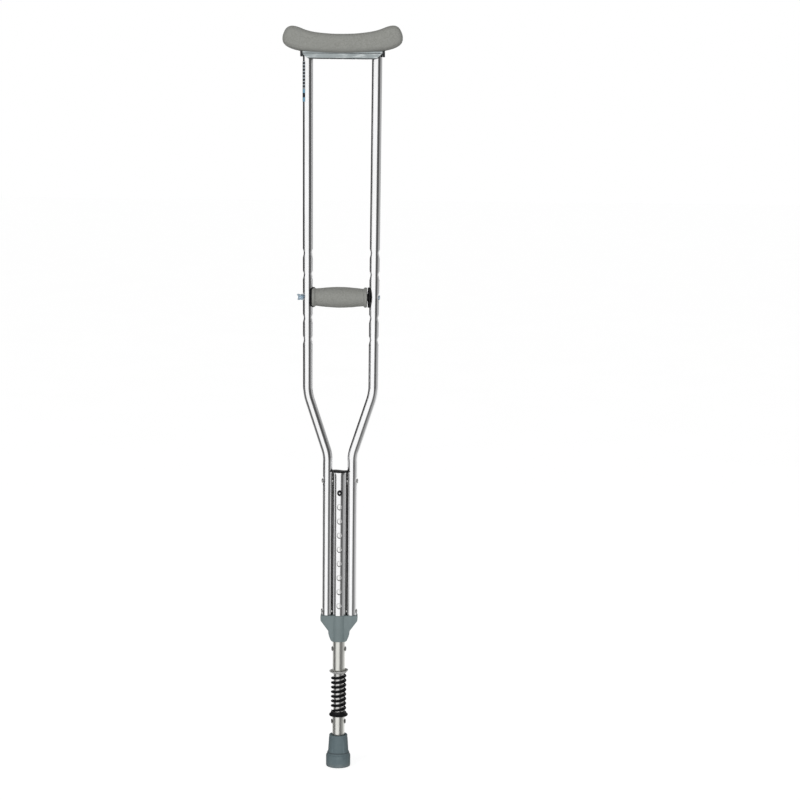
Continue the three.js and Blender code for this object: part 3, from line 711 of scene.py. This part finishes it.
def leaf_half(side):
    """Half of the leaf spring: the leg behind one snap button, and half of the bend at the bottom."""
    bend_z, top, inner = BUTTON_Z - 31, BUTTON_Z + 6, LEAF_Y - LEAF_THICKNESS
    angles = [math.radians(7.5 * i - 90) for i in range(13)]
    heights = [bend_z + (top - bend_z) * i / 18 for i in range(1, 19)]
    outline = [(LEAF_Y * math.cos(a), bend_z + LEAF_Y * math.sin(a)) for a in angles]
    outline += [(LEAF_Y, z) for z in heights] + [(inner, z) for z in reversed(heights)]
    outline += [(inner * math.cos(a), bend_z + inner * math.sin(a)) for a in reversed(angles)]
    half = bevel(slab("leaf", outline, LEAF_WIDTH), 0.12, 2, 50)
    half.data.transform(Matrix.Rotation(side * math.pi / 2, 4, "Z"))
    return half


dress(center_tube(), POLISHED, "frame", "center_tube")
dress(center_tube_cap(), BLACK, "frame", "center_tube_cap", 50)
dress(extension_tube(), SATIN, "extension", "extension_tube")
dress(snap_button(-1), DARK_STEEL, "front_button", "front_snap_button")
dress(snap_button(1), DARK_STEEL, "rear_button", "rear_snap_button")
# Both halves of the leaf spring, one behind each snap button, are fixed in place on no body; the
# middle of the leaf's round bend is at z 466.
for side, button in ((-1, "front_button"), (1, "rear_button")):
    leaf = dress(leaf_half(side), STEEL, None, "snap_spring")
    leaf.name = button + "_leaf"
    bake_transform(leaf)


# ---- bottom yoke ----


def bottom_yoke():
    """Moulded yoke: flat wings under the side tubes, blended into a sleeve round the centre tube."""
    low, high = 228.5, 276
    right = [(0, low), (11.6, low), (14.6, 231.6), (17, 237.5), (18.7, 243), (18.8, 248), (32.9, 267),
             (32.9, high), (0, high)]
    right = [p for p in rounded(right, 1.6) if p[0] > 0]
    wings = bevel(slab("yoke", both_sides(right), 22), 1.0, 3, 50)
    sleeve = rounded([(0, low + 0.1), (14.5, low + 0.1), (14.5, high - 0.1), (0, high - 0.1)], 1.4)
    sleeve = turned("sleeve", sleeve, sides=72)
    combine(wings, "UNION", sleeve)
    pockets = side_rods(SIDE_R + 0.36, SIDE_BOTTOM_Z - 0.3, 290, SIDE_X_LOW, 64)
    seat = rod("z", CENTER_R + 0.3, CENTER_BOTTOM_Z - 0.3, 290, sides=72)
    neck = rod("z", EXTENSION_R + 0.36, 200, 290, sides=72)
    return combine(wings, "DIFFERENCE", *pockets, seat, neck)


dress(bottom_yoke(), YOKE, "frame", "bottom_yoke")


# ---- underarm pad and bracket ----

PAD_HALF_DEPTH, PAD_END_X = 22, 103.9
LIP_BOTTOM_Z, LIP_HALF_DEPTH, CORE_HALF_DEPTH, CORE_TOP_Z = 1255.8, 14.5, 12, 1287


def quadratic(start, bend, end, steps):
    """Points of a quadratic curve, without its first."""
    start, bend, end = Vector(start), Vector(bend), Vector(end)
    for i in range(1, steps + 1):
        t = i / steps
        yield tuple(start.lerp(bend, t).lerp(bend.lerp(end, t), t))


def lip_outline(grow):
    """Outline of the bracket's lip, grown on all sides."""
    right = [(57 + grow, LIP_BOTTOM_Z - grow), (62 + grow, 1257.3 - grow), (74 + grow, 1268.6 + grow)]
    return both_sides(right)


def underarm_pad():
    """Moulded foam saddle: dished top, rounded horns, crowned faces, sitting a little out of level."""
    bottom_z, top_z = 1265.5, 1298.5
    half = list(quadratic((0, bottom_z), (38, bottom_z), (72, 1269.5), 8))
    half += quadratic(half[-1], (97, 1274), (102.5, 1283.5), 6)
    half += quadratic(half[-1], (106, 1293), (101, 1302.5), 6)
    half += quadratic(half[-1], (97, 1312.6), (87, 1312.6), 6)
    half += quadratic(half[-1], (80, 1312.6), (70, 1307.9), 5)
    half += list(quadratic(half[-1], (48, top_z), (0, top_z), 10))[:-1]
    outline = half + [(0, top_z)] + [(-x, z) for x, z in reversed(half)] + [(0, bottom_z)]
    pad = bevel(slab("pad", outline, 2 * PAD_HALF_DEPTH), 10, 5, 50)
    remesh(pad, 1.7, 6)

    def swell(x, y, z):
        crown = 1.5 * math.cos(min(abs(x) / PAD_END_X, 1) * math.pi / 2)
        middle = 1288 + 8 * (abs(x) / PAD_END_X) ** 2
        crown *= max(0, 1 - ((z - middle) / 22) ** 2)
        uneven = 0.35 * noise.noise(Vector((x, y, z)) / 16)
        z += 0.5 * uneven + 0.011 * x
        return x + 0.3 * uneven, y + math.copysign(crown + uneven, y) * min(abs(y) / 12, 1), z

    reshape(pad, swell)
    pocket = block((-74, -CORE_HALF_DEPTH - 0.5, 1240), (74, CORE_HALF_DEPTH + 0.5, CORE_TOP_Z + 0.5))
    groove = slab("tool", lip_outline(0.3), 2 * LIP_HALF_DEPTH + 1)
    return combine(pad, "DIFFERENCE", pocket, groove)


def underarm_bracket():
    """Moulded bracket: a lip arched over both tubes, a core inside the pad, and ribs underneath."""
    lip = bevel(slab("bracket", rounded(lip_outline(0), 1.2), 2 * LIP_HALF_DEPTH), 1.1, 3, 40)
    core = block((-73, -CORE_HALF_DEPTH, 1264), (73, CORE_HALF_DEPTH, CORE_TOP_Z))
    ears = [block((x - 2.1, -7, 1259.5), (x + 2.1, 7, 1267.5)) for x in (-71.2, 71.2)]
    combine(lip, "UNION", bevel(core, 1.5), *[bevel(ear, 0.8) for ear in ears])
    seams = [block((-80, side * 14 - 3.5, 1264.4), (80, side * 14 + 3.5, 1265.6)) for side in (-1, 1)]
    combine(lip, "DIFFERENCE", *seams)
    middles = (-34.5, -11.5, 11.5, 34.5)
    cells = [block((x - 10, -9.5, 1200), (x + 10, 9.5, CORE_TOP_Z - 3)) for x in middles]
    lean = math.atan(SIDE_LEAN)
    sockets = []
    for side in (-1, 1):
        socket = rod("z", SIDE_R + 0.36, -60, 0.3, sides=64)
        socket.data.transform(Matrix.Rotation(side * lean, 4, "Y"))
        socket.data.transform(Matrix.Translation(Vector((side * SIDE_X_TOP, 0, SIDE_TOP_Z)) * MM))
        sockets.append(socket)
    return combine(lip, "DIFFERENCE", *[bevel(cell, 1.5) for cell in cells], *sockets)


pad = dress(underarm_pad(), FOAM, "frame", "underarm_pad", 50)
dress(underarm_bracket(), BRACKET, "frame", "underarm_bracket")


# ---- hand grip ----

FOAM_HALF, FOAM_SHIFT, SADDLE_R = 48.2, -2.7, 11.7


def grip_foam():
    """Foam sleeve: full barrel, waisted necks and flanges that hug the tubes."""
    half = [(18.2, 0), (18.1, 6), (17.8, 13), (17.1, 23), (16.2, 32), (15.5, 38), (15.3, 41.5),
            (15.8, 42.4), (17.3, 43.4), (17.8, 44.5), (17.7, 46.6), (16.9, FOAM_HALF), (11.4, FOAM_HALF)]
    half = rounded(half, 1.2)
    ring = [(radius, -x) for radius, x in reversed(half)] + half[1:]
    ring = split_spans(ring + [ring[0]], 1.6)[:-1]

    def uneven(angle, radius, along):
        ripple = noise.noise(Vector((along, radius * math.cos(angle), radius * math.sin(angle))) / 9)
        return radius + (0.22 * ripple if radius > 12 else 0), along + FOAM_SHIFT

    foam = turned("grip", ring, "x", (0, 0, GRIP_Z), 96, closed=True, warp=uneven)
    hugs = side_rods(SADDLE_R + 0.3, GRIP_Z - 60, GRIP_Z + 60, GRIP_TUBE_X, 96)
    return combine(foam, "DIFFERENCE", *hugs)


def grip_saddle(reach, half_depth):
    """Black end piece that hugs the right tube, with a scalloped rim."""

    def scallop(angle, radius, along):
        return (radius - 0.55 * (1 + math.cos(16 * angle)) / 2 if radius > 10 else radius), along

    shell = rod("z", SADDLE_R, GRIP_Z - 20, GRIP_Z + 20, (GRIP_TUBE_X, 0, 0), 96)
    disc = [(0, 30), (17.9, 30), (17.9, reach), (0, reach)]
    disc = turned("disc", disc, "x", (0, 0, GRIP_Z), 128, warp=scallop)
    sides = block((30, -half_depth, GRIP_Z - 30), (70, half_depth, GRIP_Z + 30))
    combine(combine(shell, "INTERSECT", disc), "INTERSECT", sides)
    combine(shell, "UNION", rod("x", 6.3, 39, 48, (0, 0, GRIP_Z)))
    hollow = rod("z", SIDE_R + 0.4, GRIP_Z - 25, GRIP_Z + 25, (GRIP_TUBE_X, 0, 0), 96)
    bore = rod("x", BOLT_HOLE_R, 30, 60, (0, 0, GRIP_Z))
    return bevel(combine(shell, "DIFFERENCE", hollow, bore), 0.25, 2, 50)


BOLT_END_X, THREAD_START_X, BOLT_HEAD_X, THREAD_PITCH = -75.4, -62, 66.4, 1.27
WASHER_X, NUT_X, WING_ANGLE = -66.9, -68.2, math.radians(64)


def grip_bolt():
    """Long round-headed screw with a hexagon socket, threaded towards the wing nut."""

    def thread(angle, radius, along):
        if not (BOLT_END_X + 0.8 < along < THREAD_START_X and radius > BOLT_R - 0.1):
            return radius, along
        turn = (along / THREAD_PITCH - angle / (2 * math.pi)) % 1
        return radius - 0.5 * abs(2 * turn - 1), along

    shank = [(0, BOLT_END_X), (BOLT_R - 0.6, BOLT_END_X), (BOLT_R, BOLT_END_X + 0.7),
             (BOLT_R, THREAD_START_X)]
    crown = [(4.6, 0), (4.4, 0.7), (3.5, 1.5), (2.2, 1.8), (0, 1.8)]
    crown = [(BOLT_R, BOLT_HEAD_X)] + [(radius, BOLT_HEAD_X + out) for radius, out in crown]
    profile = split_spans(shank, 0.16) + [(BOLT_R, -61), (BOLT_R, 66)] + rounded(crown, 0.3)
    bolt = turned("bolt", profile, "x", (0, 0, GRIP_Z), 48, warp=thread)
    return combine(bolt, "DIFFERENCE", rod("x", 1.7, BOLT_HEAD_X + 0.6, 75, (0, 0, GRIP_Z), 6))


def grip_washer():
    ring = rounded_ring(BOLT_HOLE_R, 5.8, WASHER_X - 1, WASHER_X, 0.25)
    return turned("washer", ring, "x", (0, 0, GRIP_Z), 48, closed=True)


def wing_nut():
    """Cast wing nut: tapered hub with a collar, and two swept-back rounded wings."""
    hub = [(0, -5.9), (3.9, -5.9), (4.4, -3.8), (4.9, -1.5), (5.4, -1.2), (5.4, 0), (0, 0)]
    nut = turned("nut", rounded(hub, 0.5), "x", sides=48)
    wing = rounded([(-2.3, 2), (-0.9, 4), (-1.1, 6), (-3.7, 11.4), (-6.9, 12.9), (-8.9, 11.4),
                    (-8.3, 8.4), (-5.7, 6.2), (-4.9, 2)], 1.6)
    for turn in (0, math.pi):
        blade = bevel(slab("wing", wing, 2.5), 0.9, 3, 50)
        blade.data.transform(Matrix.Rotation(turn, 4, "X"))
        combine(nut, "UNION", blade)
    remesh(nut, 0.34, 5)
    combine(nut, "DIFFERENCE", rod("x", BOLT_R + 0.3, -15, 10))
    place = Matrix.Translation((NUT_X * MM, 0, GRIP_Z * MM))
    nut.data.transform(place @ Matrix.Rotation(WING_ANGLE, 4, "X"))
    return nut


foam = dress(grip_foam(), FOAM, "frame", "grip_foam", 50)
left_saddle = grip_saddle(54.6, 12)
left_saddle.data.transform(Matrix.Rotation(math.pi, 4, "Z"))
dress(grip_saddle(50.8, 7), BLACK, "frame", "right_grip_saddle")
dress(left_saddle, BLACK, "frame", "left_grip_saddle")
dress(grip_bolt(), ZINC, "frame", "grip_bolt")
dress(grip_washer(), ZINC, "nut_washer", "grip_washer")
dress(wing_nut(), ZINC, "nut", "wing_nut", 50)


# ---- shock absorber and foot ----


def cup_washer():
    """Pressed steel cup: flat floor, flared wall and a rolled rim, slightly tilted."""
    bore = PLUNGER_R + 0.3
    section = [(bore, 0.6), (bore, 0), (12, 0), (15.2, 2.2), (16.9, 4.6), (16.3, 5.3), (14.8, 3.3),
               (11.7, 1.3), (bore, 1.3), (bore, 0.6)]
    section = [(radius, CUP_Z + up) for radius, up in section]
    cup = turned("cup", rounded(section, 0.7)[:-1], sides=80, closed=True)
    tilt = math.tan(math.radians(3.5))
    return reshape(cup, lambda x, y, z: (x, y, z + x * tilt * min(max((z - CUP_Z) / 3, 0), 1)))


def shock_spring():
    """Round-wire compression spring with closed end coils."""
    low, high = COLLAR_TOP_Z + 0.3 + WIRE_R, CUP_Z - 0.3 - WIRE_R
    steps, around = round(SPRING_TURNS * 48), 14
    points, faces = [], []
    for i in range(steps + 1):
        share = i / steps
        angle = math.pi + 2 * math.pi * SPRING_TURNS * share
        z = low + (high - low) * share
        slope = math.atan2(high - low, 2 * math.pi * SPRING_TURNS * SPRING_R)
        taper = min(1, 0.55 + 12 * min(share, 1 - share))
        for k in range(around):
            turn = 2 * math.pi * k / around
            out, up = WIRE_R * taper * math.cos(turn), WIRE_R * taper * math.sin(turn)
            radius, back = SPRING_R + out, -up * math.sin(slope)
            points.append((radius * math.cos(angle) - back * math.sin(angle),
                           radius * math.sin(angle) + back * math.cos(angle), z + up * math.cos(slope)))
    for i in range(steps):
        for k in range(around):
            j = (k + 1) % around
            faces.append([around * i + k, around * i + j, around * (i + 1) + j, around * (i + 1) + k])
    faces += [list(range(around)), [around * steps + k for k in range(around)]]
    return solid("spring", points, faces)


def spring_collar():
    """Black seat under the spring: a rounded flange with a short neck."""
    bore = PLUNGER_R + 0.3
    section = [(bore, 95), (bore, COLLAR_Z), (15.7, COLLAR_Z), (16.9, COLLAR_Z + 1.4),
               (16.6, COLLAR_Z + 3.3), (14.3, COLLAR_Z + 4.8), (13.8, COLLAR_TOP_Z),
               (bore, COLLAR_TOP_Z), (bore, 95)]
    return turned("collar", rounded(section, 0.7)[:-1], sides=80, closed=True)


def plunger_tube():
    """Inner tube with a round-ended slot for the stop pin."""
    ring = rounded_ring(PLUNGER_BORE, PLUNGER_R, 40, 232, 0.3)
    tube = turned("plunger", split_spans(ring, 6), sides=64, closed=True)
    ends = [STOP_PIN_Z, STOP_PIN_Z - FOOT_TRAVEL]
    slot = [rivet_hole(z) for z in ends]
    slot.append(block((-20, -RIVET_HOLE_R, ends[1]), (20, RIVET_HOLE_R, ends[0])))
    return combine(tube, "DIFFERENCE", *slot, rivet_hole(FOOT_RIVET_Z))


def foot_tube():
    ring = rounded_ring(EXTENSION_BORE, EXTENSION_R, 27.4, COLLAR_Z - 0.3, 0.4)
    tube = turned("foot", split_spans(ring, 4), sides=72, closed=True)
    return combine(tube, "DIFFERENCE", rivet_hole(FOOT_RIVET_Z))


def rubber_tip():
    """Rubber tip: ringed tread, straight base, and a cone with four shallow moulded panels."""
    socket, top = EXTENSION_R + 0.36, 58
    groove = [(0, 0), (0.6, 1.6), (3, 1.6), (3.6, 0)]
    grooves = [(start + out, up) for start in (5, 12) for out, up in groove]
    tread = [(0, 0), *grooves, (19.6, 0)]
    base = [(21.2, 0.6), (21.7, 2.2), (21.8, 19.8), (21.2, 21.8), (20.0, 23)]
    cone = [(19.7, 25.4), (16.2, top - 2.6), (16.4, top - 1.2), (15.6, top), (13.2, top - 0.6),
            (socket, top - 2.2)]
    inside = [(socket, 25.4), (0, 25.4)]
    profile = split_spans(rounded(tread + base + cone + inside, 0.7, 3), 1.5)

    def panel(angle, radius, along):
        from_front = abs((angle - math.pi / 4) % (math.pi / 2) - math.pi / 4)
        side = min(max((math.radians(34) - from_front) / math.radians(3.5), 0), 1)
        end = min(max((along - 26) / 1.6, 0), 1) * min(max((top - 8 - along) / 20, 0), 1)
        return (radius - 1.15 * side * end if radius > 14 else radius), along

    return turned("tip", profile, sides=144, warp=panel)


dress(cup_washer(), CUP_STEEL, "extension", "cup_washer")
spring = dress(shock_spring(), LACQUER, "foot", "shock_spring", 60)
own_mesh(spring)
dress(spring_collar(), BLACK, "foot", "spring_collar")
dress(plunger_tube(), STEEL, "foot", "plunger_tube")
dress(foot_tube(), SATIN, "foot", "foot_tube")
dress(rubber_tip(), RUBBER, "foot", "rubber_tip", 40)

# Two hidden pieces stay as the CAD has them, with a look of their own.
for node, look in (("grip_core", BLACK), ("tip_washer", STEEL)):
    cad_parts[node].material_slots[0].material = look


# ---- floor, light and camera ----

FLOOR_HALF = 30000
floor = [(x * FLOOR_HALF, y * FLOOR_HALF, 0) for x, y in ((-1, -1), (1, -1), (1, 1), (-1, 1))]
floor = solid("floor", floor, [[0, 1, 2, 3]])
floor_look = Look("pale_floor", Specular_IOR_Level=0.0, Emission_Color=(1, 1, 1, 1),
                  Emission_Strength=0.8)
floor_look.finish(floor_look.mix(floor_look.noise(3, detail=3.0), (0.36, 0.36, 0.36), (0.4, 0.4, 0.4)))
floor.data.materials.append(floor_look.material)
floor.visible_glossy = floor.visible_diffuse = False


def studio_world():
    """White room. Shiny tubes mirror a broad light at the left front, and grey and dark walls."""
    world = bpy.data.worlds.new("studio")
    world.use_nodes = True
    nodes = Nodes(world.node_tree)
    direction = nodes.node("ShaderNodeTexCoord", {}).outputs["Generated"]
    parts = nodes.node("ShaderNodeSeparateXYZ", {0: direction}).outputs

    # The azimuth as a share of a full turn, the front at a half. Rays that go down see it squeezed.
    front = nodes.math("MULTIPLY", parts["Y"], -1.0)
    turn = nodes.math("ARCTAN2", parts["X"], front)
    turn = nodes.math("MULTIPLY", turn, nodes.span(parts["Z"], -0.18, -0.05, 1.45, 1.0))
    share = nodes.math("ADD", nodes.math("DIVIDE", turn, 2 * math.pi), 0.5)

    # Brightness of the walls by azimuth in degrees: 0 in front, 90 on the right.
    stops = [(-180, 0.95), (-172, 0.95), (-166, 0.055), (-82, 0.055), (-74, 1.05), (16, 1.05),
             (25, 0.1), (72, 0.08), (86, 0.45), (144, 0.45), (152, 0.95), (180, 0.95)]
    walls = nodes.node("ShaderNodeValToRGB", {0: share})
    ramp = walls.color_ramp
    while len(ramp.elements) < len(stops):
        ramp.elements.new(0.5)
    for element, (degrees, value) in zip(ramp.elements, stops):
        element.position = (degrees + 180) / 360
        element.color = (value, value, value, 1)

    # Rays that go down see no wall quite dark, steep ones a dim room, and the steepest the floor.
    lift = nodes.span(parts["Z"], -0.18, -0.05, 0.15, 0.0)
    steep = nodes.span(nodes.math("ABSOLUTE", parts["Z"], 0.0), 0.35, 0.6)
    shine = nodes.mix(steep, nodes.math("MAXIMUM", walls.outputs[0], lift), 0.12)
    shine = nodes.mix(nodes.span(parts["Z"], -0.7, -0.82), shine, 0.6)

    # Other rays see a room that is bright in front and half as bright behind, and the camera white.
    frontal = nodes.math("POWER", nodes.math("MAXIMUM", front, 0.0), 3.0)
    behind = nodes.math("POWER", nodes.math("MAXIMUM", parts["Y"], 0.0), 1.5)
    frontal, behind = nodes.math("MULTIPLY", frontal, 1.6), nodes.math("MULTIPLY", behind, 0.85)
    room = nodes.math("ADD", nodes.math("ADD", frontal, behind), 0.24)
    rays = nodes.node("ShaderNodeLightPath", {}).outputs
    seen = nodes.mix(rays["Is Glossy Ray"], room, shine)
    seen = nodes.mix(rays["Is Camera Ray"], seen, 1.0)
    world.node_tree.links.new(seen, world.node_tree.nodes["Background"].inputs["Color"])
    bpy.context.scene.world = world


def softbox(name, place, size, power):
    """Square area light aimed at the middle of the crutch, kept out of reflections."""
    light = bpy.data.lights.new(name, "AREA")
    light.size, light.energy = size, power
    lamp = bpy.data.objects.new(name, light)
    bpy.context.scene.collection.objects.link(lamp)
    lamp.location = place
    lamp.rotation_euler = (Vector((0, 0, 0.7)) - Vector(place)).to_track_quat("-Z", "Y").to_euler()
    lamp.visible_glossy = lamp.visible_camera = False


def photo_camera():
    """Camera at the photograph's angle: four metres in front, at the height of the upper tubes, tipped
    down and slightly rolled.
    """
    data = bpy.data.cameras.new("camera")
    data.sensor_width, data.lens = 36, 102.9
    camera = bpy.data.objects.new("camera", data)
    bpy.context.scene.collection.objects.link(camera)
    pitch, roll = math.radians(90 - 6.91), math.radians(0.55)
    turn = Matrix.Rotation(pitch, 4, "X") @ Matrix.Rotation(roll, 4, "Z")
    camera.matrix_world = Matrix.Translation((0.1049, -4.0, 1.147)) @ turn
    bpy.context.scene.camera = camera


studio_world()
softbox("key", (-2.2, -3.0, 2.4), 2.0, 36)
softbox("fill", (2.6, -2.0, 1.2), 2.0, 9)
photo_camera()
bpy.context.scene.view_settings.view_transform = "Standard"
